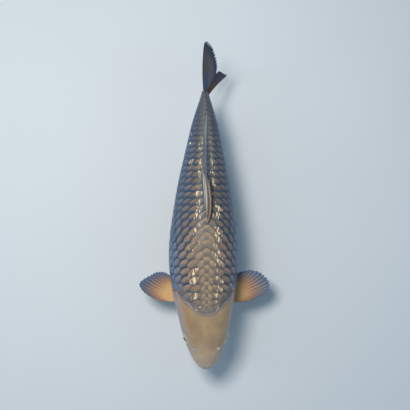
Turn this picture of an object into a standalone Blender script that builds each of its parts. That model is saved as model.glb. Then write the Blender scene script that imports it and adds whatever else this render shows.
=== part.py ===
"""Koi carp: a still, life-size display model on a plain stand.

Metres, +Z up. The head points to -Y, the tail to +Y, and the fish's own left side is +X.
The body is one loft over named profiles, which thin cuts then part into head, jaw, gill covers,
trunk and tail stalk. Lengths in the tables are shares of STANDARD_LENGTH, the distance from the
snout to the root of the tail fin.
"""

import math
from functools import partial

import bmesh
import bpy
import numpy as np
from mathutils import Vector

# Driving dimensions, in metres
STANDARD_LENGTH = 0.591
SNOUT_Y = -0.350
AXIS_HEIGHT = 0.150
SEAM = 0.0003  # the gap that parts two neighbouring solids
GILL_COVER_THICKNESS = 0.0045
EYE_RADIUS = 0.0105
EYE_SINK = 0.0072  # how deep the eyeball's centre lies under the cheek
ROD_RADIUS = 0.005
BASE_SIZE = (0.104, 0.290, 0.014)

# The body's profiles: (distance behind the snout, back, belly, half width)
STATIONS = (
    (0.000, 0.000, 0.000, 0.0000),
    (0.012, 0.023, -0.021, 0.0280),
    (0.030, 0.038, -0.034, 0.0425),
    (0.060, 0.057, -0.050, 0.0590),
    (0.100, 0.079, -0.067, 0.0740),
    (0.150, 0.102, -0.085, 0.0875),
    (0.200, 0.122, -0.101, 0.0970),
    (0.280, 0.147, -0.119, 0.1125),
    (0.360, 0.165, -0.129, 0.1235),
    (0.460, 0.174, -0.132, 0.1235),
    (0.560, 0.168, -0.125, 0.1115),
    (0.680, 0.142, -0.101, 0.0920),
    (0.800, 0.107, -0.067, 0.0665),
    (0.900, 0.080, -0.046, 0.0435),
    (0.960, 0.071, -0.041, 0.0250),
    (1.000, 0.072, -0.043, 0.0120),
)
WIDEST_LEVEL = 0.45  # share of the depth, from the belly, at which the body is widest
SQUARENESS = ((0.0, 2.3), (0.15, 2.5), (0.35, 2.15), (1.0, 2.0))  # superellipse exponent
SIDE_BEND = ((0.0, 0.011), (0.35, 0.0), (0.6, 0.0), (1.0, 0.006))  # spine's offset to +X
TAIL_ROLL = -0.16  # at the tail's root, the offset to +X per unit of height
TAIL_ROLL_START = 0.88

BODY_RINGS, BODY_SIDES = 38, 28
CORE_RINGS, CORE_SIDES = 24, 20
NAPE_START = 0.200  # where the scaled back begins, on the midline
GILL_REAR = 0.292  # the gill cover's hindmost point
JAW_REAR = 0.072
STALK_START = 0.865
EYE_AT, EYE_ANGLE = 0.114, math.radians(17)

# Colours are linear, as a Principled BSDF takes them.
LOOKS = {
    "head_skin": ((0.34, 0.24, 0.14), 0.40, 0.0),
    "scaled_skin": ((0.16, 0.12, 0.095), 0.35, 0.0),
    "fin_membrane": ((0.20, 0.15, 0.10), 0.45, 0.0),
    "paired_fin": ((0.50, 0.29, 0.13), 0.45, 0.0),
    "eye": ((0.05, 0.035, 0.02), 0.08, 0.0),
    "stand_board": ((0.012, 0.012, 0.013), 0.30, 0.0),
    "stand_metal": ((0.50, 0.50, 0.51), 0.25, 1.0),
}


def blend(x, first, last):
    return first + (last - first) * x


def spread(table, at):
    """Reads a (position, value) table at some positions, on a smooth curve through its points."""
    at = np.asarray(at, float)
    x = np.array([row[0] for row in table])
    y = np.array([row[1] for row in table])
    step = np.diff(x)
    rise = np.diff(y) / step
    inner = (rise[:-1] * step[1:] + rise[1:] * step[:-1]) / (step[:-1] + step[1:])
    slope = np.concatenate([rise[:1], inner, rise[-1:]])
    k = np.clip(np.searchsorted(x, at) - 1, 0, len(step) - 1)
    t = np.clip((at - x[k]) / step[k], 0, 1)
    h = step[k]
    return (
        y[k] * (1 + 2 * t) * (1 - t) ** 2
        + y[k + 1] * t**2 * (3 - 2 * t)
        + slope[k] * h * t * (1 - t) ** 2
        - slope[k + 1] * h * t**2 * (1 - t)
    )


def profile(column, along):
    """One body profile. It is read over the root of the distance, which makes the snout blunt."""
    table = [(math.sqrt(row[0]), row[column]) for row in STATIONS]
    return spread(table, np.sqrt(np.clip(along, 0, 1)))


def back(along):
    return profile(1, along)


def belly(along):
    return profile(2, along)


def place(x, along, z):
    """Shares of the standard length to metres in the part's own frame."""
    x, along, z = np.broadcast_arrays(x, along, z)
    return np.stack(
        [
            STANDARD_LENGTH * (x + spread(SIDE_BEND, along)),
            SNOUT_Y + STANDARD_LENGTH * along,
            AXIS_HEIGHT + STANDARD_LENGTH * z,
        ],
        -1,
    )


def body_section(along, angle):
    """(x, z) on the body's outline: angle 0 is the fish's left side, a quarter turn its back."""
    top, bottom, half = back(along), belly(along), profile(3, along)
    widest = blend(WIDEST_LEVEL, bottom, top)
    power = 2 / spread(SQUARENESS, along)
    c, s = np.cos(angle), np.sin(angle)
    rise = np.where(s > 0, top - widest, widest - bottom)
    return half * np.sign(c) * np.abs(c) ** power, widest + rise * np.sign(s) * np.abs(s) ** power


def body_point(along, angle):
    along = np.asarray(along, float)
    x, z = body_section(along, np.asarray(angle, float))
    roll = TAIL_ROLL * np.clip((along - TAIL_ROLL_START) / (1 - TAIL_ROLL_START), 0, 1) ** 2
    return place(x + roll * (z - 0.014), along, z)


# Meshes


def mesh_object(name, points, faces, look, smooth=True):
    mesh = bpy.data.meshes.new(name)
    mesh.from_pydata([tuple(p) for p in points], [], faces)
    work = bmesh.new()
    work.from_mesh(mesh)
    bmesh.ops.remove_doubles(work, verts=work.verts, dist=1e-6)
    bmesh.ops.recalc_face_normals(work, faces=work.faces)
    bmesh.ops.triangulate(work, faces=work.faces)
    work.to_mesh(mesh)
    work.free()
    obj = bpy.data.objects.new(name, mesh)
    bpy.context.scene.collection.objects.link(obj)
    if look:
        mesh.materials.append(look)
    if smooth:
        mesh.shade_smooth()
        mesh.set_sharp_from_angle(angle=math.radians(40))
    return obj


def loft(name, rings, look):
    """A closed solid through rings of points. The first and last ring are capped."""
    n, m = rings.shape[:2]
    faces = [
        (i * m + j, i * m + (j + 1) % m, (i + 1) * m + (j + 1) % m, (i + 1) * m + j)
        for i in range(n - 1)
        for j in range(m)
    ]
    faces += [tuple(range(m)), tuple(reversed(range((n - 1) * m, n * m)))]
    return mesh_object(name, rings.reshape(-1, 3), faces, look)


def slab(name, one_side, other_side, look):
    """A closed solid between two grids of points, with a wall round their rim."""
    n, m = one_side.shape[:2]
    count = n * m
    faces = []
    for i in range(n - 1):
        for j in range(m - 1):
            a = i * m + j
            b = count + a
            faces += [(a, a + 1, a + m + 1, a + m), (b, b + m, b + m + 1, b + 1)]
    rim = [j for j in range(m)] + [i * m + m - 1 for i in range(1, n)]
    rim += [(n - 1) * m + j for j in range(m - 2, -1, -1)] + [i * m for i in range(n - 2, 0, -1)]
    for a, b in zip(rim, rim[1:] + rim[:1]):
        faces.append((a, count + a, count + b, b))
    points = np.concatenate([one_side.reshape(-1, 3), other_side.reshape(-1, 3)])
    return mesh_object(name, points, faces, look)


def tube(name, path, radii, sides, look):
    """A round solid along a path, with a radius for each of its points."""
    path = np.asarray(path, float)
    along = np.gradient(path, axis=0)
    along /= np.linalg.norm(along, axis=1)[:, None]
    side = np.cross(along, (0.0, 0.0, 1.0) if abs(along[0][2]) < 0.9 else (0.0, 1.0, 0.0))
    side /= np.linalg.norm(side, axis=1)[:, None]
    up = np.cross(side, along)
    turn = np.linspace(0, 2 * math.pi, sides, endpoint=False)
    rings = path[:, None] + np.asarray(radii)[:, None, None] * (
        np.cos(turn)[None, :, None] * side[:, None] + np.sin(turn)[None, :, None] * up[:, None]
    )
    return loft(name, rings, look)


def applied(obj):
    """Replaces an object's mesh by its evaluated one, and drops its modifiers."""
    bpy.context.view_layer.update()
    shape = bpy.data.meshes.new_from_object(obj.evaluated_get(bpy.context.evaluated_depsgraph_get()))
    obj.modifiers.clear()
    obj.data = shape
    return obj


def combined(obj, *steps):
    """Applies (operation, tool) Boolean steps to the object."""
    for operation, tool in steps:
        modifier = obj.modifiers.new(operation.lower(), "BOOLEAN")
        modifier.operation = operation
        modifier.solver = "EXACT"
        modifier.object = tool
        applied(obj)
    return tidied(obj)


def tidied(obj):
    """Merges the sliver edges that a Boolean leaves."""
    work = bmesh.new()
    work.from_mesh(obj.data)
    bmesh.ops.remove_doubles(work, verts=work.verts, dist=2e-6)
    bmesh.ops.triangulate(work, faces=work.faces)
    work.to_mesh(obj.data)
    work.free()
    obj.data.shade_smooth()
    obj.data.set_sharp_from_angle(angle=math.radians(40))
    return obj


def copy_of(obj, name):
    twin = obj.copy()
    twin.data = obj.data.copy()
    twin.name = name
    bpy.context.scene.collection.objects.link(twin)
    return twin


def discard(*objects):
    for obj in objects:
        bpy.data.objects.remove(obj)


# The body and its parting cuts


def whole_body(name, grow=0.0, ring_count=BODY_RINGS, side_count=BODY_SIDES):
    """The body's loft, its surface moved outwards by grow."""
    share = np.linspace(0, 1, ring_count)[1:] ** 1.4
    along = np.concatenate([[0.0006], share])
    angle = np.linspace(0, 2 * math.pi, side_count, endpoint=False)
    along_grid, angle_grid = np.meshgrid(along, angle, indexing="ij")
    rings = body_point(along_grid, angle_grid)
    if grow:
        ahead = body_point(np.clip(along_grid + 1e-3, 0, 1), angle_grid)
        behind = body_point(np.clip(along_grid - 1e-3, 5e-4, 1), angle_grid)
        turned = body_point(along_grid, angle_grid + 1e-3) - body_point(along_grid, angle_grid - 1e-3)
        out = np.cross(ahead - behind, turned)
        out /= np.linalg.norm(out, axis=-1)[..., None]
        rings = rings + grow * out
        rings[0] += (0, -grow, 0)
        rings[-1] += (0, grow, 0)
    return loft(name, rings, None)


def gill_line(x, z):
    """How far behind the snout the scaled trunk begins at a place on the body."""
    nape = NAPE_START + 5.4 * np.abs(x) ** 1.75
    below = np.clip((0.012 - z) / 0.115, 0, None)
    cheek = GILL_REAR - 0.092 * below**2
    soft = 0.012
    nearer = np.clip(0.5 + (cheek - nape) / (2 * soft), 0, 1)
    return blend(nearer, cheek, nape) - soft * nearer * (1 - nearer)


def front_region(name, shift):
    """Everything in front of the gill line moved back by shift metres."""
    x, z = np.meshgrid(np.linspace(-0.16, 0.16, 15), np.linspace(-0.17, 0.21, 15), indexing="ij")
    rear = place(x, gill_line(x, z) + shift / STANDARD_LENGTH, z)
    front = place(x, 0 * x - 0.06, z)
    return slab(name, front, rear, None)


def side_prism(name, outline, half_width):
    """A side-view outline of (distance behind the snout, height), carried across the body."""
    outline = np.asarray(outline, float)
    left = place(half_width, outline[:, 0], outline[:, 1])
    right = place(-half_width, outline[:, 0], outline[:, 1])
    return loft(name, np.stack([left, right]), None)


def gill_outline(grow):
    """The gill cover from the side. Its hind edge runs past the gill line, which trims it."""
    middle, reach, height, lean = 0.262, 0.062, 0.066, 0.012
    turn = np.linspace(0, 2 * math.pi, 22, endpoint=False)
    squarish = 0.8
    x = np.sign(np.cos(turn)) * np.abs(np.cos(turn)) ** squarish
    z = np.sign(np.sin(turn)) * np.abs(np.sin(turn)) ** squarish
    share = grow / STANDARD_LENGTH
    return [
        (middle + (reach + share) * a + lean * b, -0.012 + (height + share) * b) for a, b in zip(x, z)
    ]


def mouth_outline(shift):
    """The lower jaw from the side: below the mouth's slit, and in front of its hinge."""
    share = shift / STANDARD_LENGTH
    slit = ((-0.01, -0.0045), (0.010, -0.0050), (0.030, -0.0110), (0.050, -0.0200), (JAW_REAR, -0.0320))
    chin = ((JAW_REAR + 0.006, -0.075), (-0.01, -0.075))
    upper = [(a + (share if a == JAW_REAR else 0), z + share) for a, z in slit]
    return upper + [(a + (share if a > 0 else 0), z) for a, z in chin]


def part_body(looks):
    """Head, jaw, gill covers, trunk and tail stalk, out of one loft."""
    gap = SEAM / 2
    half_gap = gap / STANDARD_LENGTH
    cover, cover_tight = GILL_COVER_THICKNESS, GILL_COVER_THICKNESS + SEAM
    body = whole_body("body_shape")
    tools = {
        "ahead": front_region("region_ahead", -gap),
        "ahead_wide": front_region("region_ahead_wide", gap),
        "jaw": side_prism("region_jaw", mouth_outline(-gap), 0.09),
        "jaw_wide": side_prism("region_jaw_wide", mouth_outline(gap), 0.091),
        "gill": side_prism("region_gill", gill_outline(-gap), 0.17),
        "gill_wide": side_prism("region_gill_wide", gill_outline(gap), 0.171),
        "core": whole_body("region_core", -cover, CORE_RINGS, CORE_SIDES),
        "core_tight": whole_body("region_core_tight", -cover_tight, CORE_RINGS, CORE_SIDES),
        "stalk": side_prism("region_stalk", box_outline(STALK_START + half_gap), 0.2),
        "stalk_wide": side_prism("region_stalk_wide", box_outline(STALK_START - half_gap), 0.2),
    }
    front = combined(copy_of(body, "front"), ("INTERSECT", tools["ahead"]))
    covers = combined(
        copy_of(front, "covers"), ("INTERSECT", tools["gill"]), ("DIFFERENCE", tools["core"])
    )
    opening = combined(tools["gill_wide"], ("DIFFERENCE", tools["core_tight"]))
    head = combined(copy_of(front, "head"), ("DIFFERENCE", opening), ("DIFFERENCE", tools["jaw_wide"]))
    jaw = combined(copy_of(front, "jaw"), ("INTERSECT", tools["jaw"]))
    trunk = combined(
        copy_of(body, "trunk"), ("DIFFERENCE", tools["ahead_wide"]), ("DIFFERENCE", tools["stalk_wide"])
    )
    stalk = combined(copy_of(body, "tail_stalk"), ("INTERSECT", tools["stalk"]))
    for obj in (head, jaw):
        dress(obj, looks["head_skin"])
    for obj in (trunk, stalk):
        dress(obj, looks["scaled_skin"])
    split_sides(covers, "gill_cover", looks["head_skin"])
    discard(front, body, *tools.values())
    return head


def box_outline(start):
    return ((start, 0.25), (start, -0.25), (1.2, -0.25), (1.2, 0.25))


def dress(obj, look):
    obj.data.materials.clear()
    obj.data.materials.append(look)


def split_sides(obj, name, look):
    """Makes one object of each side's half of a mesh whose halves don't touch."""
    for side, keep_left in (("left", True), ("right", False)):
        half = copy_of(obj, f"{name}_{side}")
        work = bmesh.new()
        work.from_mesh(half.data)
        away = [v for v in work.verts if (v.co.x > 0) != keep_left]
        bmesh.ops.delete(work, geom=away, context="VERTS")
        work.to_mesh(half.data)
        work.free()
        dress(half, look)
    discard(obj)


def eye_centre(side):
    """The eyeball's centre, sunk into the cheek along the surface's normal."""
    angle = EYE_ANGLE if side > 0 else math.pi - EYE_ANGLE
    at = body_point(EYE_AT, angle)
    turned = body_point(EYE_AT, angle + 1e-3) - body_point(EYE_AT, angle - 1e-3)
    run = body_point(EYE_AT + 1e-3, angle) - body_point(EYE_AT - 1e-3, angle)
    out = Vector(np.cross(run, turned)).normalized()
    return Vector(at) - out * EYE_SINK


def ball(name, centre, radius, look):
    mesh = bpy.data.meshes.new(name)
    work = bmesh.new()
    bmesh.ops.create_uvsphere(work, u_segments=16, v_segments=10, radius=radius)
    bmesh.ops.translate(work, verts=work.verts, vec=centre)
    work.to_mesh(mesh)
    work.free()
    obj = bpy.data.objects.new(name, mesh)
    bpy.context.scene.collection.objects.link(obj)
    if look:
        mesh.materials.append(look)
    mesh.shade_smooth()
    return obj


def add_eyes(head, looks):
    for name, side in (("eye_left", 1), ("eye_right", -1)):
        centre = eye_centre(side)
        socket = ball("socket", centre, EYE_RADIUS + SEAM, None)
        combined(head, ("DIFFERENCE", socket))
        discard(socket)
        ball(name, centre, EYE_RADIUS, looks["eye"])


def add_barbels(looks, skin):
    """Two pairs of feelers: a short one on the upper lip, a longer one at the mouth's corner."""
    for name, along, angle, length, thick in (
        ("barbel_front", 0.030, math.radians(-10), 0.015, 0.0012),
        ("barbel_rear", 0.052, math.radians(-26), 0.027, 0.0016),
    ):
        for side_name, side in (("left", 1), ("right", -1)):
            root = Vector(body_point(along, angle if side > 0 else math.pi - angle))
            t = np.linspace(-0.15, 1, 7)
            bow = np.clip(t, 0, 1) ** 2
            path = np.stack(
                [
                    root.x + side * length * (0.36 * t - 0.16 * bow),
                    root.y + length * (0.10 * t + 0.40 * bow),
                    root.z - length * (0.62 * t + 0.22 * bow),
                ],
                -1,
            )
            radii = thick * (1 - 0.65 * np.clip(t, 0, 1) ** 1.5)
            feeler = tube(f"{name}_{side_name}", path, radii, 7, looks["head_skin"])
            combined(feeler, ("DIFFERENCE", skin))


# Fins: each is a function of r, from its first ray to its last, and t, from root to tip.

FIN_RAYS, FIN_STEPS = 11, 6
ROOT_DEPTH = -0.10  # how far a ray reaches back into the body, as a share of its length
# How far the dorsal fin's free edge leans to +X, from its first ray to its last
DORSAL_SWAY = ((0.0, 0.009), (0.10, -0.012), (0.20, -0.018), (0.40, -0.011), (0.8, -0.007), (1.0, 0.003))
TAIL_LENGTH = (
    (0.00, 0.218),
    (0.20, 0.179),
    (0.35, 0.123),
    (0.46, 0.096),
    (0.60, 0.119),
    (0.80, 0.140),
    (1.00, 0.204),
)
TAIL_PITCH = ((0.0, 36.0), (0.46, -2.0), (1.0, -46.0))
TAIL_SWEEP = ((0.0, -1.0), (0.20, 8.0), (0.35, 21.0), (0.46, 27.0), (0.6, 29.0), (0.8, 35.0), (1.0, 41.0))
# A pectoral fin's ray tips: (share of the rays, distance from the midline, distance behind the snout)
RIGHT_PECTORAL = ((0.0, 0.181, 0.245), (0.20, 0.224, 0.279), (0.35, 0.233, 0.305), (0.55, 0.198, 0.332),
                  (0.75, 0.163, 0.3465), (0.90, 0.136, 0.345), (1.0, 0.114, 0.332))
LEFT_PECTORAL = ((0.0, 0.180, 0.236), (0.20, 0.231, 0.261), (0.40, 0.253, 0.297), (0.60, 0.231, 0.334),
                 (0.80, 0.190, 0.3515), (1.0, 0.140, 0.347))


def dorsal_point(r, t):
    """Half folded: the rays lie back along the spine, and the free edge sways to each side."""
    along = blend(r, 0.532, 0.850)
    length = blend(r**0.8, 0.166, 0.084)
    slope = (back(along + 0.01) - back(along - 0.01)) / 0.02
    pitch = np.radians(blend(r, 23, 15)) + np.arctan(slope)
    reach = length * t
    out = np.clip(t, 0, 1)
    return place(
        spread(DORSAL_SWAY, r) * out**0.8,
        along + reach * np.cos(pitch),
        back(along) - 0.004 + reach * np.sin(pitch) - 0.012 * out**2,
    )


def anal_point(r, t):
    along = blend(r, 0.765, 0.838)
    length = blend(r**0.8, 0.125, 0.060)
    pitch = np.radians(blend(r, -60, -32))
    bow = 0.10 * length * np.clip(t, 0, 1) ** 2
    return place(
        0.004 * np.clip(t, 0, 1) ** 2,
        along + length * t * np.cos(pitch) + bow,
        belly(along) + 0.004 + length * t * np.sin(pitch) + 0.6 * bow,
    )


def tail_point(r, t):
    """A forked fin in mid stroke: the lower the ray, the more it is swept to the left side."""
    out = np.clip(t, 0, 1)
    length = spread(TAIL_LENGTH, r) * t
    pitch = np.radians(spread(TAIL_PITCH, r) * (1.15 - 0.15 * out))
    sweep = np.radians(spread(TAIL_SWEEP, r) + 9 * (out - 1))
    root = blend(r, 0.062, -0.034)
    return place(
        TAIL_ROLL * (root - 0.014) + length * np.cos(pitch) * np.sin(sweep),
        0.985 + length * np.cos(pitch) * np.cos(sweep),
        root + length * np.sin(pitch),
    )


def pectoral_point(r, t, side):
    """Spread flat beside the body. Each ray leaves the body straight out and bends back."""
    tips = LEFT_PECTORAL if side > 0 else RIGHT_PECTORAL
    root_x, root_y = 0.088, blend(r, 0.240, 0.284)
    tip_x = spread([(row[0], row[1]) for row in tips], r)
    tip_y = spread([(row[0], row[2]) for row in tips], r)
    bend = 0.10 * (tip_x - root_x)
    out = (tip_x - root_x) * t + 0.6 * bend * t * (1 - t)
    return place(
        side * (root_x + out),
        root_y + (tip_y - root_y) * t - bend * t * (1 - t) * 2.2,
        blend(r, -0.064, -0.074) - 0.14 * out + 0.9 * out**2,
    )


def pelvic_point(r, t, side):
    length = blend(r**1.4, 0.128, 0.066)
    turn = np.radians(blend(r, 62, 88))
    out = length * t * np.cos(turn)
    drop = np.radians(blend(r, 44, 24))
    return place(
        side * (blend(r, 0.046, 0.026) + out),
        blend(r, 0.490, 0.512) + length * t * np.sin(turn) * np.cos(drop),
        blend(r, -0.108, -0.120) - length * t * np.sin(turn) * np.sin(drop),
    )


def fin_rim(r, t):
    """Rounds the corners where the free edge meets the first and the last ray."""
    return np.where(t > 0, t * (1 - 0.06 * np.abs(2 * r - 1) ** 8), t)


def add_fin(name, point, first, last, thick, look, skin):
    """A fin's solid: its middle surface, thick at the roots and thin at the free edge."""
    share, t = np.meshgrid(
        np.linspace(0, 1, FIN_RAYS),
        np.concatenate([[ROOT_DEPTH], np.linspace(0, 1, FIN_STEPS)]),
        indexing="ij",
    )
    middle = point(blend(share, first, last), fin_rim(share, t))
    across = np.gradient(middle, axis=0)
    outward = np.gradient(middle, axis=1)
    normal = np.cross(across, outward)
    normal /= np.linalg.norm(normal, axis=-1)[..., None]
    half = 0.5 * blend(np.clip(t, 0, 1) ** 0.7, thick, 0.0008)[..., None]
    fin = slab(name, middle + half * normal, middle - half * normal, look)
    return combined(fin, ("DIFFERENCE", skin))


def add_fins(looks, skin):
    median, paired = looks["fin_membrane"], looks["paired_fin"]
    add_fin("dorsal_fin", dorsal_point, 0, 1, 0.0045, median, skin)
    add_fin("anal_fin", anal_point, 0, 1, 0.0045, median, skin)
    fork = 0.46
    hairline = 0.004
    add_fin("tail_fin_upper", tail_point, 0, fork - hairline, 0.0050, median, skin)
    add_fin("tail_fin_lower", tail_point, fork + hairline, 1, 0.0050, median, skin)
    for name, side in (("left", 1), ("right", -1)):
        pectoral = partial(pectoral_point, side=side)
        pelvic = partial(pelvic_point, side=side)
        add_fin(f"pectoral_fin_{name}", pectoral, 0, 1, 0.0060, paired, skin)
        add_fin(f"pelvic_fin_{name}", pelvic, 0, 1, 0.0045, paired, skin)


# The stand


def add_stand(looks, skin):
    """A flat board under the belly and two upright rods, each with a round foot."""
    width, length, height = BASE_SIZE
    middle = SNOUT_Y + 0.44 * STANDARD_LENGTH
    turn = np.linspace(0, 2 * math.pi, 48, endpoint=False)
    round_end = 2 / 3.2
    x = np.sign(np.cos(turn)) * np.abs(np.cos(turn)) ** round_end
    y = np.sign(np.sin(turn)) * np.abs(np.sin(turn)) ** round_end
    chamfer = 0.0025
    rings = [
        np.stack([(width / 2 - inset) * x, middle + (length / 2 - inset) * y, 0 * x + z], -1)
        for inset, z in ((0, 0), (0, height - chamfer), (chamfer, height))
    ]
    loft("stand_base", np.stack(rings), looks["stand_board"])
    for name, along in (("stand_rod_front", 0.330), ("stand_rod_rear", 0.600)):
        centre = place(0.0, along, belly(along))
        foot_radius, foot_height = 0.014, 0.005
        bottom = height + SEAM
        profile_points = (
            (foot_radius, bottom),
            (foot_radius, bottom + 0.7 * foot_height),
            (foot_radius - 0.0015, bottom + foot_height),
            (ROD_RADIUS, bottom + foot_height + 0.001),
            (ROD_RADIUS, centre[2] + 0.02),
        )
        spin = np.linspace(0, 2 * math.pi, 24, endpoint=False)
        rings = [
            np.stack([centre[0] + r * np.cos(spin), centre[1] + r * np.sin(spin), 0 * spin + z], -1)
            for r, z in profile_points
        ]
        rod = loft(name, np.stack(rings), looks["stand_metal"])
        combined(rod, ("DIFFERENCE", skin))


def materials():
    made = {}
    for name, (colour, roughness, metallic) in LOOKS.items():
        look = bpy.data.materials.new(name)
        look.use_nodes = True
        shader = look.node_tree.nodes["Principled BSDF"]
        shader.inputs["Base Color"].default_value = (*colour, 1)
        shader.inputs["Roughness"].default_value = roughness
        shader.inputs["Metallic"].default_value = metallic
        made[name] = look
    return made


def centre_over_origin():
    """Moves everything so that the middle of the whole model's footprint is at the origin."""
    corners = np.concatenate([[v.co[:2] for v in obj.data.vertices] for obj in bpy.data.objects])
    middle = (corners.min(0) + corners.max(0)) / 2
    for obj in bpy.data.objects:
        for vertex in obj.data.vertices:
            vertex.co.x -= middle[0]
            vertex.co.y -= middle[1]


def main():
    for obj in list(bpy.data.objects):
        bpy.data.objects.remove(obj)
    looks = materials()
    head = part_body(looks)
    add_eyes(head, looks)
    skin = whole_body("skin_with_gap", grow=SEAM)
    add_barbels(looks, skin)
    add_fins(looks, skin)
    add_stand(looks, skin)
    discard(skin)
    centre_over_origin()


main()
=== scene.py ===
"""The koi carp's looks: one skin with scales laid over it, ribbed fins, eyes, barbels and stand."""

import math
from functools import partial

import bmesh
import bpy
import numpy as np
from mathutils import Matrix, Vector


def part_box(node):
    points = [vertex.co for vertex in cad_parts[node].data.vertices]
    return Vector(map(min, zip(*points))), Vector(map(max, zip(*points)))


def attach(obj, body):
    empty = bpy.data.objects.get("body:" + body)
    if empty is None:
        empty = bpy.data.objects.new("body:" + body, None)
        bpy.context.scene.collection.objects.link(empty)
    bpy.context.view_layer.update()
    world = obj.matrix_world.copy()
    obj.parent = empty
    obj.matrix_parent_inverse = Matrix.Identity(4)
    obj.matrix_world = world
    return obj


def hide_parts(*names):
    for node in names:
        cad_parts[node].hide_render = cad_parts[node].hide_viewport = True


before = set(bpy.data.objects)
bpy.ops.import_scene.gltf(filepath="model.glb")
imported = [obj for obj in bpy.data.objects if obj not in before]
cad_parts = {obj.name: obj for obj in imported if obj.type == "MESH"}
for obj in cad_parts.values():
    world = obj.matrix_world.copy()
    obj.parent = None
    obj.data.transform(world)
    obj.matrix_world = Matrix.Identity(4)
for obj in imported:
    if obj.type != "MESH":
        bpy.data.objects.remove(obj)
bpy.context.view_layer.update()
chance = np.random.default_rng(7)

# The body's form, from the same numbers as the solids, apart from the nape's line, which keeps
# closer to the photo. Lengths here are shares of LENGTH, and "along" is the distance
# behind the snout.

LENGTH = 0.591  # snout to tail root, in metres
SNOUT_Y = -0.35
AXIS_HEIGHT = 0.15
STATIONS = {  # along: height of the back, height of the belly, half width
    0: (0, 0, 0),
    0.012: (0.023, -0.021, 0.028),
    0.03: (0.038, -0.034, 0.0425),
    0.06: (0.057, -0.05, 0.059),
    0.1: (0.079, -0.067, 0.074),
    0.15: (0.102, -0.085, 0.0875),
    0.2: (0.122, -0.101, 0.097),
    0.28: (0.147, -0.119, 0.1125),
    0.36: (0.165, -0.129, 0.1235),
    0.46: (0.174, -0.132, 0.1235),
    0.56: (0.168, -0.125, 0.1115),
    0.68: (0.142, -0.101, 0.092),
    0.8: (0.107, -0.067, 0.0665),
    0.9: (0.08, -0.046, 0.0435),
    0.96: (0.071, -0.041, 0.025),
    1.0: (0.072, -0.043, 0.012),
}
WIDEST_LEVEL = 0.45  # how high the body is widest, from the belly (0) to the back (1)
SQUARENESS = {0: 2.3, 0.15: 2.5, 0.35: 2.15, 1: 2.0}
SIDE_BEND = {0: 0.011, 0.35: 0.0, 0.6: 0.0, 1: 0.006}
TAIL_ROLL = -0.16
TAIL_ROLL_START = 0.88
TAIL_AXIS = 0.014
NAPE_START, NAPE_SPREAD, NAPE_POWER = 0.2115, 5.6, 1.84
GILL_REAR, GILL_SWEEP, GILL_LEVEL, GILL_DEPTH = 0.292, 0.092, 0.012, 0.115
GILL_CORNER = 0.012  # how softly the gill covers' rear edge turns into the nape's
STAND_ALONG = 0.44  # where the stand's middle lies under the fish

SIDES = (("left", 1), ("right", -1))

low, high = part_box("stand_base")
STAND_X, STAND_Y = (low[0] + high[0]) / 2, (low[1] + high[1]) / 2
SHIFT = Vector((STAND_X, STAND_Y - SNOUT_Y - STAND_ALONG * LENGTH, 0.0))


def blend(x, first, last):
    return first + (last - first) * x


def ease(x, start, end):
    """0 before start, 1 after end, and smooth between them."""
    t = np.clip((x - start) / (end - start), 0, 1)
    return t * t * (3 - 2 * t)


def fall(x, start, end):
    return 1 - ease(x, start, end)


def bump(x, middle, width):
    return np.exp(-(((x - middle) / width) ** 2))


def swell(x, height, middle, width):
    """A rounded ridge, or a groove where its height is negative."""
    return height * bump(x, middle, width)


def unit(vectors):
    return vectors / np.linalg.norm(vectors, axis=-1, keepdims=True)


def turns(count):
    """Angles of a closed ring with this many points."""
    return np.linspace(0, 2 * math.pi, count, endpoint=False)


def spread(table, at, steady=False):
    """Reads a {position: value} table on a smooth curve through its points.

    A steady curve never swings past the values at the two points that it runs between.
    """
    at = np.asarray(at, float)
    x, y = np.array(list(table)), np.array(list(table.values()))
    step = np.diff(x)
    rise = np.diff(y) / step
    inner = (rise[:-1] * step[1:] + rise[1:] * step[:-1]) / (step[:-1] + step[1:])
    if steady:
        same = rise[:-1] * rise[1:] > 0
        inner = np.where(same, 2 * rise[:-1] * rise[1:] / np.where(same, rise[:-1] + rise[1:], 1), 0)
    slope = np.concatenate([rise[:1], inner, rise[-1:]])
    k = np.clip(np.searchsorted(x, at) - 1, 0, len(step) - 1)
    t = np.clip((at - x[k]) / step[k], 0, 1)
    h = step[k]
    return (
        y[k] * (1 + 2 * t) * (1 - t) ** 2
        + y[k + 1] * t**2 * (3 - 2 * t)
        + slope[k] * h * t * (1 - t) ** 2
        - slope[k + 1] * h * t**2 * (1 - t)
    )


def steady(table, at):
    return spread(table, at, True)


def profile(column, along):
    table = {math.sqrt(station): row[column] for station, row in STATIONS.items()}
    return spread(table, np.sqrt(np.clip(along, 0, 1)))


back, belly, half_width = [partial(profile, column) for column in range(3)]


def place(x, along, z):
    """Shares of the standard length to metres in the part's own frame."""
    shares = np.stack(np.broadcast_arrays(x + spread(SIDE_BEND, along), along, z), -1)
    return LENGTH * shares + (SHIFT.x, SNOUT_Y + SHIFT.y, AXIS_HEIGHT)


def section_frame(along):
    top, bottom = back(along), belly(along)
    return top, bottom, half_width(along), blend(WIDEST_LEVEL, bottom, top), 2 / spread(SQUARENESS, along)


def body_section(along, angle):
    """(x, z) on the body's outline: angle 0 is the fish's left side, a quarter turn its back."""
    top, bottom, half, widest, power = section_frame(along)
    c, s = np.cos(angle), np.sin(angle)
    rise = np.where(s > 0, top - widest, widest - bottom)
    return half * np.sign(c) * np.abs(c) ** power, widest + rise * np.sign(s) * np.abs(s) ** power


def body_point(along, angle):
    along = np.asarray(along, float)
    x, z = body_section(along, np.asarray(angle, float))
    roll = TAIL_ROLL * np.clip((along - TAIL_ROLL_START) / (1 - TAIL_ROLL_START), 0, 1) ** 2
    return place(x + roll * (z - TAIL_AXIS), along, z)


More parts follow.
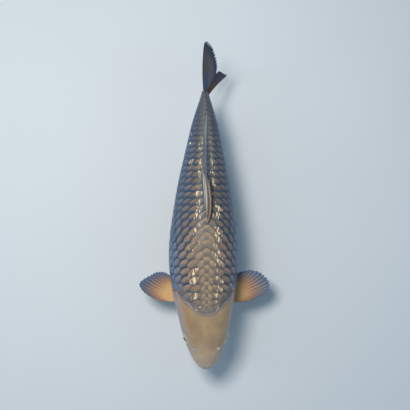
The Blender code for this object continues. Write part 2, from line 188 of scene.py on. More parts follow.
def body_normal(along, angle):
    step = 1e-3
    run = body_point(np.clip(along + step, 0, 1), angle) - body_point(np.clip(along - step, 5e-4, 1), angle)
    turn = body_point(along, angle + step) - body_point(along, angle - step)
    return unit(np.cross(run, turn))


def on_side(angle, side):
    """An angle round the body's left, or the same place on its right where side is -1."""
    return np.where(side > 0, angle, math.pi - angle)


def gill_line(x, z):
    """How far behind the snout the scaled trunk begins at a place on the body."""
    nape = NAPE_START + NAPE_SPREAD * np.abs(x) ** NAPE_POWER
    below = np.clip((GILL_LEVEL - z) / GILL_DEPTH, 0, None)
    cheek = GILL_REAR - GILL_SWEEP * below**2
    nearer = np.clip(0.5 + (cheek - nape) / (2 * GILL_CORNER), 0, 1)
    return blend(nearer, cheek, nape) - GILL_CORNER * nearer * (1 - nearer)


# Girth: how far round the body a point lies, measured down from the middle of the back


class Girth:
    """Turns distances round the body into angles and back, from tables over the body's length."""

    STATION_COUNT = 320
    STEPS_PER_TURN = 640

    def __init__(self):
        self.along = np.linspace(0.004, 1, self.STATION_COUNT)
        self.angle = np.linspace(math.pi * 1.5, -math.pi * 1.5, self.STEPS_PER_TURN * 3 // 2 + 1)
        rows, columns = np.meshgrid(self.along, self.angle, indexing="ij")
        x, z = body_section(rows, columns)
        steps = np.hypot(np.diff(x, axis=1), np.diff(z, axis=1))
        self.arc = np.concatenate([np.zeros((len(self.along), 1)), np.cumsum(steps, axis=1)], 1)
        self.arc -= self.arc[:, [self.STEPS_PER_TURN // 2]]  # the column at the middle of the back
        self.reach = np.linspace(-0.36, 0.62, 981)
        self.turn = np.stack([np.interp(self.reach, arc, self.angle) for arc in self.arc])

    def _read(self, table, along, position):
        row = (along - self.along[0]) / (self.along[1] - self.along[0])
        row, position = np.clip(row, 0, len(table) - 1.001), np.clip(position, 0, table.shape[1] - 1.001)
        i, j = row.astype(int), position.astype(int)
        first, second = [blend(position - j, table[k, j], table[k, j + 1]) for k in (i, i + 1)]
        return blend(row - i, first, second)

    def angle_at(self, along, arc):
        return self._read(self.turn, along, (arc - self.reach[0]) / (self.reach[1] - self.reach[0]))

    def arc_at(self, along, angle):
        return self._read(self.arc, along, (angle - self.angle[0]) / (self.angle[1] - self.angle[0]))


girth = Girth()


def surface(along, arc, side, lift):
    """A point lift metres over the body, at a distance round it on the fish's left (1) or right (-1)."""
    angle = on_side(girth.angle_at(along, arc), side)
    return body_point(along, angle) + np.asarray(lift)[..., None] * body_normal(along, angle)


# Meshes. Each has a bake map with room for every face.

TUBE_MAP = (0.01, 0.99)
PLATE_FACE = 0.475  # each face's share of the map's height, with the rim between the two
PLATE_RIM = (0.485, 0.515)


def add_object(name, data):
    thing = bpy.data.objects.new(name, data)
    bpy.context.scene.collection.objects.link(thing)
    return thing


def new_piece(name, points, faces, uv, attributes, material):
    """An object that rides on the fish. attributes: name to one or three values for each point."""
    points = points.reshape(-1, 3)
    mesh = bpy.data.meshes.new(name)
    mesh.from_pydata(points.tolist(), [], faces)
    for key, values in attributes.items():
        kind, field = ("FLOAT", "value") if values.size == len(points) else ("FLOAT_VECTOR", "vector")
        values = values.astype(np.float32).ravel()
        mesh.attributes.new(key, kind, "POINT").data.foreach_set(field, values)
    mesh.uv_layers.new(name="OFBake").data.foreach_set("uv", np.asarray(uv, np.float32).ravel())
    work = bmesh.new()
    work.from_mesh(mesh)
    bmesh.ops.remove_doubles(work, verts=work.verts, dist=1e-7)
    work.to_mesh(mesh)
    work.free()
    mesh.shade_smooth()
    mesh.materials.append(material)
    obj = add_object(name, mesh)
    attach(obj, "root")
    return obj


def pairs(first, second):
    """A grid of (first, second) places on the bake map, with a row for each of the first ones."""
    return np.stack(np.meshgrid(first, second, indexing="ij"), -1)


def quads(numbers, places):
    """Faces over a grid of point numbers, and the places of their corners on the bake map."""

    def corners(grid):
        return np.stack([grid[:-1, :-1], grid[1:, :-1], grid[1:, 1:], grid[:-1, 1:]], 2)

    return corners(numbers).reshape(-1, 4), corners(places).reshape(-1, 2)


def tube_piece(name, rings, attributes, material):
    """A closed tube through rings of points. Its end rings may be single points."""
    n, m = rings.shape[:2]
    numbers = np.arange(n * m).reshape(n, m)
    places = pairs(np.linspace(*TUBE_MAP, n), np.linspace(*TUBE_MAP, m + 1))[..., ::-1]
    faces, uv = quads(np.concatenate([numbers, numbers[:, :1]], 1), places)
    return new_piece(name, rings, faces.tolist(), uv, attributes, material)


def plate_piece(name, upper, lower, attributes, material):
    """A closed plate between two grids of points. attributes are given once for both grids."""
    n, m = upper.shape[:2]
    top = np.arange(n * m).reshape(n, m)
    rim = np.concatenate([top[0], top[1:, -1], top[-1, -2::-1], top[-2::-1, 0]])
    along, across = np.linspace(0, 1, n), PLATE_FACE * np.linspace(0, 1, m)
    parts = (
        quads(top, pairs(along, across)),
        quads(top.T + n * m, pairs(along, 1 - across).swapaxes(0, 1)),
        quads(np.stack([rim, rim + n * m], 1), pairs(np.linspace(0, 1, len(rim)), PLATE_RIM)),
    )
    faces, uv = [np.concatenate(arrays) for arrays in zip(*parts)]
    both = {key: np.concatenate([values, values]) for key, values in attributes.items()}
    return new_piece(name, np.concatenate([upper, lower]), faces.tolist(), uv, both, material)


# Colours and materials


def rgb(red, green, blue):
    """An everyday 0-255 colour as the linear one that shaders take."""
    share = np.array([red, green, blue]) / 255
    return np.where(share <= 0.04045, share / 12.92, ((share + 0.055) / 1.055) ** 2.4)


def layered(colour, *layers):
    """Lays colours over a first one. layers: (share of the new colour at each point, new colour)."""
    for share, paint in layers:
        colour = blend(np.clip(share, 0, 1)[..., None], colour, paint)
    return colour


def straight(table, at):
    """Reads a {position: colour} table on straight lines between its points."""
    colours = np.array(list(table.values()))
    return np.stack([np.interp(at, list(table), colours[:, k]) for k in range(3)], -1)


class Paint:
    """One material and shorthand for the nodes it is built from."""

    def __init__(self, name, gloss=0.5, coat=(0.0, 0.03), **shader):
        """gloss: the plain reflection's strength. coat: the clear coat's weight and roughness."""
        shader.update(specular_ior_level=gloss, coat_weight=coat[0], coat_roughness=coat[1])
        self.material = bpy.data.materials.new(name)
        self.material.use_nodes = True
        self.tree = self.material.node_tree
        self.shader = self.tree.nodes["Principled BSDF"]
        for key, value in shader.items():
            self.shader.inputs[key.replace("_", " ").title().replace("Ior", "IOR")].default_value = value

    def put(self, socket, value):
        if isinstance(value, bpy.types.NodeSocket):
            self.tree.links.new(value, socket)
        elif socket.type == "RGBA":
            socket.default_value = (*value, 1)
        else:
            socket.default_value = value

    def node(self, kind, inputs=(), **settings):
        """A new node. inputs: (name or place of the input, its value or the socket it is linked to)."""
        node = self.tree.nodes.new("ShaderNode" + kind)
        for key, value in settings.items():
            setattr(node, key, value)
        for key, value in inputs:
            self.put(node.inputs[key], value)
        return node.outputs

    def math(self, kind, *values):
        return self.node("Math", enumerate(values), operation=kind)[0]

    def times(self, a, b):
        return self.math("MULTIPLY", a, b)

    def plus(self, a, b):
        return self.math("ADD", a, b)

    def minus(self, a, b):
        return self.math("SUBTRACT", a, b)

    def ramp(self, x, start, end, low=0.0, high=1.0):
        names = ("Value", "From Min", "From Max", "To Min", "To Max")
        inputs = zip(names, (x, start, end, low, high))
        return self.node("MapRange", inputs, interpolation_type="SMOOTHSTEP")["Result"]

    def mix(self, share, a, b, kind="MIX"):
        """Lays colour b over colour a. The node takes colours at inputs 6 and 7, and gives one at 2."""
        return self.node("Mix", ((0, share), (6, a), (7, b)), data_type="RGBA", blend_type=kind)[2]

    def shaded(self, colour, shade):
        return self.mix(1.0, colour, shade, "MULTIPLY")

    def read(self, name, output="Vector"):
        return self.node("Attribute", attribute_name=name)[output]

    def split(self, vector):
        return self.node("SeparateXYZ", [(0, vector)])

    def coordinates(self):
        return self.node("TexCoord")["Object"]

    def noise(self, scale, detail=2.0, at=None):
        at = self.coordinates() if at is None else at
        return self.node("TexNoise", (("Vector", at), ("Scale", scale), ("Detail", detail)))["Fac"]

    def stretched(self, detail, parts, sizes):
        """Noise in a space whose three axes are the parts, each times its size."""
        axes = [self.times(part, size) for part, size in zip(parts, sizes)]
        return self.noise(1.0, detail, self.node("CombineXYZ", enumerate(axes))[0])

    def raise_by(self, height, distance, strength):
        normal = self.shader.inputs["Normal"]
        inputs = [("Height", height), ("Distance", distance), ("Strength", strength)]
        inputs += [("Normal", link.from_socket) for link in normal.links]
        self.put(normal, self.node("Bump", inputs)[0])

    def finish(self, colour, roughness=None):
        self.put(self.shader.inputs["Base Color"], colour)
        if roughness is not None:
            self.put(self.shader.inputs["Roughness"], roughness)
        return self.material


# Skin

TAN = rgb(190, 160, 124)
SNOUT_TAN = rgb(212, 184, 156)
GOLD = rgb(190, 148, 88)
UMBER = rgb(146, 112, 92)
PAINTED_EDGE_MAUVE = rgb(158, 146, 152)
LIP_PINK = rgb(222, 138, 92)
LIP_WHITE = rgb(208, 204, 196)
CREAM = rgb(214, 196, 164)
# painted shade for hollows: the nostrils and the skin under the scales
PAINTED_HOLLOW_SHADE = rgb(54, 66, 88)
GILL_RED = rgb(120, 62, 46)
ROSE = rgb(186, 138, 122)
FOLD_GREY = rgb(104, 114, 136)
SILVER = rgb(206, 214, 212)

SKIN_SINK = 0.0024  # metres: how deep the skin lies under the scales
SKIN_SIDES = 256
RING_GAP = (0.0007, 0.0011, 0.004)  # metres between rings: on the snout, the head and the trunk
EYE_RADIUS = 0.0105
EYE_ALONG, EYE_ANGLE = 0.114, math.radians(17)
EYE_LIFT = 0.3  # how far the eyes look up
EYE_MOUTH = 0.0072  # metres from an eye's middle out to its lids
LEFT_EYE_SHIFT = 0.0014
NOSTRIL_ALONG, NOSTRIL_X = 0.0765, 0.0428
PITS = ((-0.0034, 0.0024), (0.004, 0.0028))  # a nostril's two openings: metres behind it, radius

# Lines on the head: the mouth's slit (along: height), the lips' rear fold (height: along) and the
# cheek's upper fold (along: height)
SLIT = {0: -0.0047, 0.01: -0.0052, 0.03: -0.0115, 0.05: -0.02, 0.06: -0.0245}
LIP_REAR = {-0.06: 0.075, -0.024: 0.062, -0.01: 0.047, 0: 0.036, 0.012: 0.026, 0.03: 0.015}
CHEEK_TOP = {0.12: 0.034, 0.16: 0.042, 0.2: 0.05, 0.29: 0.062}

# Folds and swellings: height out of the skin, distance from their line and half width, in metres
UPPER_LIP = (0.0011, 0.004, 0.0032)
LOWER_LIP = (0.0009, -0.003, 0.0024)
LIP_FOLD = (-0.0009, 0.0003, 0.0008)
MOUTH_SLIT = (-0.0026, 0.0, 0.00065)
CHEEK_FOLD = (-0.0007, 0.0, 0.0016)
COVER_FOLD = (-0.0007, 0.0, 0.0014)
COVER_RISE = 0.0008
ARCH_FOLD = (-0.0004, 0.0, 0.0022)
LID = (0.001, 0.0098, 0.0016)
LID_FOLD = (-0.0004, 0.0135, 0.0018)
EYE_POCKET, PIT_DEPTH = 0.0045, 0.0022
PIT_RIM = 0.0007
BROW = 0.0009


def eye_middle(side):
    lowest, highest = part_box("eye_left" if side > 0 else "eye_right")
    return (np.array(lowest) + np.array(highest)) / 2 + (LEFT_EYE_SHIFT * max(side, 0), 0, 0)


def eye_outward(side):
    """The way an eye looks: the body's normal beside it, turned up a little."""
    outward = body_normal(np.array(EYE_ALONG), on_side(EYE_ANGLE, side))
    return unit(outward + np.array((0, 0, EYE_LIFT)))


def from_eye(points, side):
    """Distances in metres from the middle of an eye's lids."""
    return np.linalg.norm(points - (eye_middle(side) + EYE_MOUTH * eye_outward(side)), axis=-1)


def nostril_point(side):
    """(distance behind the snout, angle) of a nostril."""
    _, _, half, _, power = section_frame(np.array(NOSTRIL_ALONG))
    return np.array(NOSTRIL_ALONG), on_side(math.acos(float((NOSTRIL_X / half) ** (1 / power))), side)


def skin_rings():
    """Rings close together on the head and wider apart on the trunk."""
    fine = np.linspace(0, 1, 4000) ** 2
    _, z = body_section(np.clip(fine, 1e-6, 1), np.full_like(fine, math.pi / 2))
    length = np.hypot(np.diff(fine), np.diff(z)) * LENGTH
    middle = (fine[1:] + fine[:-1]) / 2
    on_head = blend(ease(middle, 0.02, 0.1), RING_GAP[0], RING_GAP[1])
    spacing = blend(ease(middle, 0.2, 0.34), on_head, RING_GAP[2])
    count = np.concatenate([[0], np.cumsum(length / spacing)])
    return np.interp(np.linspace(0, count[-1], int(count[-1])), count, fine)


def over_mouth(along, z):
    """Distances in metres: above the mouth's slit, and behind the lips' rear fold."""
    above = (z - spread(SLIT, along)) * LENGTH
    behind = (along - spread(LIP_REAR, np.clip(z, -0.06, 0.03))) * LENGTH
    return above, behind


def behind_arc(along, z, front, bow, level):
    """Metres behind a line across the cheek that bows back above and below its level."""
    return (along - front - bow * ((z - level) / 0.07) ** 2) * LENGTH


def head_relief(points, along, x, z):
    """How far the skin stands out of the plain body, in metres."""
    above, behind = over_mouth(along, z)
    corner = fall(along, 0.052, 0.064)
    on_lips = fall(behind, -0.001, 0.0006) * corner
    out = on_lips * (swell(above, *UPPER_LIP) + swell(above, *LOWER_LIP))
    out += swell(behind, *LIP_FOLD) * fall(np.abs(above), 0.02, 0.028)
    out += swell(above, *MOUTH_SLIT) * corner
    over_cheek = (z - spread(CHEEK_TOP, along)) * LENGTH
    out += swell(over_cheek, *CHEEK_FOLD) * ease(along, 0.125, 0.15) * fall(along, 0.27, 0.29)
    on_cover = ease(z, -0.085, -0.065) * fall(z, 0.03, 0.045)
    cover = behind_arc(along, z, 0.186, 0.045, -0.01)
    arch = behind_arc(along, z, 0.15, 0.05, -0.015)
    out += on_cover * (swell(cover, *COVER_FOLD) + swell(arch, *ARCH_FOLD))
    out += on_cover * COVER_RISE * ease(cover, 0.001, 0.012)
    for _, side in SIDES:
        to_eye = from_eye(points, side)
        out += swell(to_eye, *LID) + swell(to_eye, *LID_FOLD)
        out -= EYE_POCKET * fall(to_eye, 0.006, 0.0086)
        nose = body_point(*nostril_point(side))
        for ahead, size in PITS:
            to_pit = np.linalg.norm(points - (nose + np.array((0, ahead, 0))), axis=-1)
            out += swell(to_pit, PIT_RIM, size * 1.35, 0.0008)
            out -= PIT_DEPTH * fall(to_pit, size * 0.5, size * 1.15)
    out += BROW * bump(along, 0.155, 0.05) * bump(x, 0.0, 0.03)
    return out - 0.8 * BROW * bump(along, 0.105, 0.03) * bump(np.abs(x), 0.03, 0.014)


def head_colour(along, x, z):
    """The skin's colour: tan on top, mauve-grey down the sides, cream below. The mauve-grey at the head's
    outline is painted light, a tint of the blue surroundings reflected there.
    """
    above, behind = over_mouth(along, z)
    width = np.clip(np.abs(x) / half_width(along), 0, 1)
    height = (z - blend(WIDEST_LEVEL, belly(along), back(along))) / (back(along) - belly(along)) * 2
    behind_eye = ease(along, 0.14, 0.19)
    corner = fall(along, 0.056, 0.066)
    lips = fall(behind, -0.0012, 0.0004) * corner
    red_lips = lips * fall(above, 0.0085, 0.012) * ease(above, -0.011, -0.0065)
    return layered(
        SNOUT_TAN,
        (ease(along, 0.02, 0.11), TAN),
        # painted light: a mauve-grey tint of the blue surroundings at the head's outline
        (0.85 * ease(width, 0.8, 0.95) * ease(along, 0.03, 0.12), PAINTED_EDGE_MAUVE),
        (0.65 * bump(width, 0.66, 0.07) * behind_eye, GOLD),
        (0.7 * bump(width, 0.79, 0.055) * behind_eye, ROSE),
        (0.8 * ease(-height, 0.25, 0.75), CREAM),
        (0.35 * bump(along, 0.17, 0.016) * bump(np.abs(x), 0.045, 0.016), UMBER),
        (0.22 * bump(along, 0.15, 0.022) * bump(np.abs(x), 0.022, 0.016), GOLD),
        (0.3 * lips, LIP_WHITE),
        (0.75 * bump(behind, -0.001, 0.0014) * corner, LIP_WHITE),
        (0.6 * lips * bump(above, 0.014, 0.0025), LIP_WHITE),
        (0.95 * red_lips, LIP_PINK),
        (0.9 * bump(above, 0.0, 0.0007) * fall(along, 0.054, 0.062), UMBER * 0.5),
    )


def skin_colour(points, along, x, z, edge):
    """The head's colour, the marks at eyes and gills, painted shade in the nostrils, and dark skin under
    the scales that shows as painted shade in the gaps between them.
    """
    colour = head_colour(along, x, z)
    for _, side in SIDES:
        to_nose = np.linalg.norm(points - body_point(*nostril_point(side)), axis=-1)
        colour = layered(
            colour,
            (0.8 * bump(from_eye(points, side), 0.0102, 0.0026), SILVER),
            # painted shade in the nostrils' hollows
            (0.6 * fall(to_nose, 0.0024, 0.0046), PAINTED_HOLLOW_SHADE),
        )
    bare_ridge = np.maximum(ease(np.abs(x), 0.01, 0.05), ease(along, 0.47, 0.52))
    # painted shade on the skin under the scales, dark where gaps between them show it
    under_scale_shade = layered(OLIVE * 0.45, (bare_ridge, PAINTED_HOLLOW_SHADE))
    return layered(
        colour,
        (0.62 * ease(edge, -0.009, -0.001), FOLD_GREY),
        (0.75 * bump(edge, -0.0006, 0.001) * ease(np.abs(x), 0.075, 0.095), GILL_RED),
        (ease(edge, -0.0006, 0.0006), layered(HAZE * 0.8, (ease(edge, 0.01, 0.024), under_scale_shade))),
    )


def make_skin():
    """One closed skin over the whole body: bare on the head, and sunk under the scales behind it."""
    along, angle = np.meshgrid(skin_rings(), turns(SKIN_SIDES), indexing="ij")
    along[0] = 1e-6
    points = body_point(along, angle)
    x, z = body_section(along, angle)
    edge = (along - gill_line(x, z)) * LENGTH
    out = head_relief(points, along, x, z) * fall(edge, -0.004, -0.001)
    out -= SKIN_SINK * ease(edge, -0.0012, 0.0026)
    out[:3] = np.minimum(out[:3], out[:3].mean())
    points = points + out[..., None] * body_normal(np.clip(along, 6e-4, 0.999), angle)
    points[0] = points[0].mean(0)
    points = np.concatenate([points, np.broadcast_to(points[-1].mean(0), (1, SKIN_SIDES, 3))])
    along, x, z, edge = [np.concatenate([v, v[-1:]]) for v in (along, x, z, edge)]
    tint = skin_colour(points, along, x, z, edge)
    skin = tube_piece("skin", points, {"tint": tint}, skin_material())
    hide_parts("head", "jaw", "gill_cover_left", "gill_cover_right", "trunk", "tail_stalk")


def skin_material():
    paint = Paint("moist_skin", 0.5, (0.25, 0.22))
    tint = paint.read("tint", "Color")
    cloudy = paint.ramp(paint.noise(20.0, 3.0), 0.35, 0.68)
    sallow = paint.ramp(paint.noise(64.0), 0.5, 0.66, 0.0, 0.45)
    freckles = paint.ramp(paint.noise(310.0, 3.0), 0.52, 0.7, 0.0, 0.14)
    colour = paint.mix(cloudy, paint.shaded(tint, (0.86, 0.82, 0.83)), tint)
    colour = paint.mix(sallow, colour, paint.shaded(tint, (1.16, 1.12, 0.94)))
    colour = paint.mix(freckles, colour, rgb(112, 92, 76))
    paint.raise_by(paint.noise(620.0, 3.0), 0.0003, 0.5)
    paint.raise_by(paint.noise(90.0), 0.0008, 0.35)
    return paint.finish(colour, paint.ramp(paint.noise(140.0), 0.3, 0.7, 0.34, 0.48))


# Scales, in rows along the body and level columns round it. A row's place is its distance round
# the body from the middle of the back. The tables are read at distances behind the snout.

FIRST_ROW = {
    0.1: 0.01, 0.29: 0.0115, 0.32: 0.0135, 0.355: 0.0165, 0.4: 0.0235, 0.455: 0.036, 0.5: 0.0475,
    0.55: 0.05, 0.6: 0.0475, 0.65: 0.0415, 0.7: 0.0375, 0.74: 0.031, 0.8: 0.027, 0.87: 0.0215,
    0.93: 0.018, 1.06: 0.013,
}
ROW_GAP = {
    0.1: 0.024, 0.2: 0.0258, 0.29: 0.0285, 0.355: 0.0305, 0.455: 0.0315, 0.5: 0.034, 0.56: 0.037,
    0.6: 0.036, 0.7: 0.0345, 0.78: 0.031, 0.85: 0.026, 0.93: 0.0205, 1.06: 0.016,
}
UPPER_ROW = {  # one more row, beside the dorsal fin
    0.4: 0.009, 0.455: 0.014, 0.49: 0.0205, 0.54: 0.0238, 0.6: 0.0257, 0.7: 0.0247, 0.78: 0.019,
    0.85: 0.013, 0.95: 0.0085,
}
UPPER_GAP = {0.4: 0.015, 0.54: 0.026, 0.6: 0.021, 0.7: 0.0175, 0.95: 0.015}
UPPER_START, UPPER_END = 0.455, 0.905
MIDDLE_GAP = {
    0.1: 0.011, 0.2: 0.0125, 0.3: 0.015, 0.36: 0.018, 0.4: 0.0235, 0.48: 0.024, 0.54: 0.0215,
    0.85: 0.018, 0.93: 0.019, 1.06: 0.015,
}
MIDDLE_STOP, MIDDLE_START = 0.535, 0.885  # the dorsal fin breaks the row on the middle of the back
ROW_COUNT = 14
FIRST_COLUMN = 0.165
PITCH = {  # the gap between columns
    0.1: 0.0165, 0.18: 0.018, 0.24: 0.023, 0.3: 0.029, 0.42: 0.0285, 0.5: 0.0262, 0.6: 0.0248,
    0.67: 0.0236, 0.78: 0.0207, 0.875: 0.017, 0.96: 0.0138, 1.1: 0.012,
}
SCALE_SHEAR = {  # how far a scale's upper side reaches back past its middle, in pitches for each gap
    0.1: 0.3, 0.28: 0.32, 0.38: 0.42, 0.46: 0.5, 0.56: 0.68, 0.8: 0.74, 1.06: 0.66,
}
HALF_WIDTH = 0.88  # a scale's half width, as a share of the gap between rows
HALF_LENGTH = 0.91  # its length from the middle to the rear edge, as a share of the pitch

# One scale's form: its own sizes in metres, and the loops from its front to its rear edge
SCALE_TILT = 0.0014  # how much deeper its front lies than its rear edge
MIDDLE_DIVE = 0.0014  # how much deeper still the fronts of the scales on the midline lie
SCALE_CAMBER = 0.0002
SCALE_THICKNESS = 0.0004
SCALE_UNEVENNESS = 0.00025
SCALE_FRONT = -0.22  # in half lengths from its middle
UPPER_LOOPS = (0, 0.22, 0.42, 0.6, 0.76, 0.89, 0.97, 1)
LOWER_LOOPS = (0.97, 0.7, 0.35, 0)
LOOP_CELLS = (0.22, 0.2, 0.18, 0.16, 0.13, 0.08, 0.06, 0.03, 0.03, 0.03, 0.03)  # on the bake map
LOOPS_END, SEAM_CELL = 0.94, (0.95, 0.97)

# Painted glints, highlights of light reflected off the scales: the band they lie in, its width and their
# share.
SPARKLE_PATH = {
    0.18: 0.03, 0.25: 0.038, 0.33: 0.044, 0.53: 0.043, 0.58: 0.036, 0.66: 0.027, 0.75: 0.023, 1.0: 0.014,
}
SPARKLE_WIDTH = {0.18: 0.012, 0.3: 0.017, 0.52: 0.018, 0.6: 0.013, 0.66: 0.009, 1.0: 0.006}
SPARKLE_SHARE = {0.15: 0.5, 0.24: 0.9, 0.3: 1.0, 0.62: 0.9, 0.75: 0.8, 0.92: 0.0, 1.1: 0.0}

BROWN = rgb(174, 142, 116)
OLIVE = rgb(192, 162, 128)
HAZE = rgb(120, 124, 132)
DEEP_HAZE = rgb(94, 122, 152)
# painted light: the blue of the surroundings reflected on the flanks, laid into the scales' colour
PAINTED_BLUE_BOUNCE = rgb(84, 140, 190)
FLANK = rgb(150, 142, 132)
PALE = rgb(198, 186, 166)
REAR_SHADE = {  # darker and bluer towards the tail
    0.42: (1.0, 1.0, 1.0), 0.5: (0.8, 0.81, 0.8), 0.62: (0.64, 0.69, 0.72), 0.72: (0.64, 0.73, 0.8),
    0.8: (0.54, 0.68, 0.86), 0.88: (0.38, 0.5, 0.68), 1.0: (0.34, 0.44, 0.58),
}


def scale_columns():
    """Distances behind the snout, one pitch apart."""
    found = [FIRST_COLUMN]
    while found[-1] < 1:
        found.append(found[-1] + float(steady(PITCH, found[-1])))
    return np.array(found)


def row_place(row, along):
    """A row's distance round the body from the middle of the back, and its gap to the next row.

    The gaps grow from the back to the flank.
    """
    if row < 0:
        return steady(UPPER_ROW, along), steady(UPPER_GAP, along)
    gap = steady(ROW_GAP, along)
    near = min(row, 3)
    steps = row + 0.1 * near * (near - 1) + 0.4 * (row - near)
    return steady(FIRST_ROW, along) + steps * gap, gap * (1 + 0.15 * near)


def side_scales():
    """One side's scales: along, arc, lean, shear, half width, half length, gap, pitch, row and column.

    Neighbours in a column are level, so each scale is sheared: its upper side reaches further back.
    """
    columns = scale_columns()
    step = 2e-3
    pitch, shear = steady(PITCH, columns), steady(SCALE_SHEAR, columns)
    half_girth = girth.arc_at(columns, np.full_like(columns, -math.pi / 2))
    found = []
    for row in range(-1, ROW_COUNT):
        arc, gap = row_place(row, columns)
        lean = (row_place(row, columns + step)[0] - arc) / step
        half = HALF_WIDTH * gap
        kept = arc < half_girth - 0.1 * gap
        if row < 0:
            kept = (columns > UPPER_START) & (columns < UPPER_END)
        if row == 0:
            half = np.minimum(half, 0.004 + 0.72 * arc)
        size = half, HALF_LENGTH * pitch
        place_in_map = np.full_like(columns, row + 1), np.arange(len(columns))
        found.append(np.stack([columns, arc, lean, shear, *size, gap, pitch, *place_in_map], 1)[kept])
    return np.concatenate(found)


def middle_scales():
    """Scales over the midline: a row on the back, parted by the dorsal fin, and a row below."""
    found = []
    for k, along in enumerate(scale_columns()):
        pitch = float(steady(PITCH, along))
        below = float(girth.arc_at(along, -math.pi / 2))
        rows = [(along, below, float(row_place(0, along)[1]), 1)]
        middle = along + pitch / 2
        if middle < MIDDLE_STOP or middle > MIDDLE_START:
            rows.insert(0, (middle, 0, float(steady(MIDDLE_GAP, middle)), 0))
        for at, arc, gap, row in rows:
            found.append((at, arc, 0, 0, HALF_WIDTH * gap, HALF_LENGTH * pitch, gap, pitch, row, k))
    return np.array(found)


def behind_nape(along, distance):
    """How far behind the head's rear edge a place on the body lies, as a share of the length."""
    along = np.clip(along, 0.01, 1)
    x, z = body_section(along, girth.angle_at(along, distance))
    return along - gill_line(x, z)


def behind_head(scales):
    """Leaves out the scales that would lie on the head."""
    return scales[behind_nape(scales[:, 0] + 0.35 * scales[:, 5], np.abs(scales[:, 1])) > 0]


def scale_shape():
    """One scale's grid of loops, in half widths and half lengths, and which points lie underneath."""
    across = np.sin(np.linspace(-1, 1, 11) * math.radians(84))
    rear = np.sqrt(1 - across**2)
    run = np.array(UPPER_LOOPS + LOWER_LOOPS)
    along = SCALE_FRONT + (rear[:, None] - SCALE_FRONT) * run
    below = np.repeat((0.0, 1.0), (len(UPPER_LOOPS), len(LOWER_LOOPS)))
    return np.broadcast_to(across[:, None], along.shape), along, np.broadcast_to(below, along.shape)


def make_scales(name, scales, side, material, level=0.0):
    """Joins scales into one mesh. Each is a thin closed plate, lying back along its row."""
    across, forth, below = scale_shape()
    middle, arc_middle, lean, shear, wide, long, gap, pitch = [scales[:, k, None, None] for k in range(8)]
    luck = chance.random((len(scales), 5))[:, :, None, None]
    wide = wide * (1 + 0.05 * (luck[:, 0] - 0.5))
    turn = np.arctan(lean) + 0.06 * (luck[:, 1] - 0.5)
    sideways = across * wide
    backwards = forth * long - shear * pitch * sideways / gap
    along = middle + backwards * np.cos(turn) - sideways * np.sin(turn)
    arc = arc_middle + backwards * np.sin(turn) + sideways * np.cos(turn)
    dome = np.clip(1 - across**2 - np.clip(forth, -1, 1) ** 2, -0.2, 1)
    relief = np.where(shear > 0, np.clip(np.minimum(long, wide) / 0.024, 0.3, 1), 0.35)
    lift = level + (SCALE_TILT * (forth - 1) / 1.2 + SCALE_CAMBER * dome) * relief
    lift = lift - np.where(shear > 0, 0, MIDDLE_DIVE) * fall(forth, SCALE_FRONT, 0.4)
    lift = lift - SCALE_THICKNESS * below
    lift = lift + SCALE_UNEVENNESS * (luck[:, 2] - 0.5) * (1 + across * 0.8)
    points = surface(np.clip(along, 0.02, 1.0), arc, side, lift)

    def facts(*values):
        return np.stack(np.broadcast_arrays(*values, lift)[:-1], -1)

    distance = np.abs(arc)
    attributes = {
        "tint": scale_tint(along, distance) * (0.9 + 0.2 * luck[:, 0][..., None]),
        "local": facts(across, forth, luck[:, 3]),
        "cover": facts(gap / wide, pitch / long, shear),
        "net_and_shade": scale_net(along, distance),
        "slim": ease(along, 0.45, 0.56) * (shear > 0),
        "glint": scale_glint(along, distance, luck[:, 4]),
    }
    faces, uv = scale_faces(scales, *across.shape)
    new_piece(name, points, faces, uv, attributes, material)


def scale_net(along, distance):
    """How dark the net of scale edges and the painted shade at the scales' fronts are: faint on the ridge
    and at the nape.
    """
    ridge = blend(ease(along, 0.47, 0.58), 0.28, 0.85)
    reach = blend(ease(along, 0.45, 0.58), 0.085, 0.045)
    over_back = blend(ease(distance / reach, 0.12, 1.0), ridge, 1.0)
    return over_back * blend(ease(behind_nape(along, distance), 0.005, 0.06), 0.3, 1.0)


def scale_glint(along, distance, luck):
    """Where painted glints go, highlights of light reflected off the scales: in a band on each side of the
    back, and now and then elsewhere.
    """
    band = bump(distance, steady(SPARKLE_PATH, along), steady(SPARKLE_WIDTH, along))
    stray = ease(luck, 0.9, 1.0) * ease(distance, 0.03, 0.06) * fall(distance, 0.13, 0.17)
    return np.maximum(band * steady(SPARKLE_SHARE, along) * ease(luck, 0.12, 0.6), 0.7 * stray)


def scale_tint(along, distance):
    """Brown scales, olive on the ridge, hazy at the nape, blue on the upper sides and pale below. The blue
    is painted light: a tint of the blue surroundings reflected on the flanks.
    """
    up = np.sin(girth.angle_at(np.clip(along, 0.01, 1), distance))
    colour = layered(
        OLIVE,
        (ease(distance, 0.008, 0.035), BROWN),
        (
            0.8 * fall(behind_nape(along, distance), 0.0, 0.05),
            layered(HAZE, (ease(distance, 0.02, 0.1), DEEP_HAZE)),
        ),
        # painted blue reflected light on the flanks
        (0.9 * ease(1 - up, 0.1, 0.75), PAINTED_BLUE_BOUNCE),
        (0.75 * ease(-up, -0.38, 0.05), FLANK),
    )
    return layered(colour * straight(REAR_SHADE, along), (ease(-up, 0.05, 0.65), PALE))


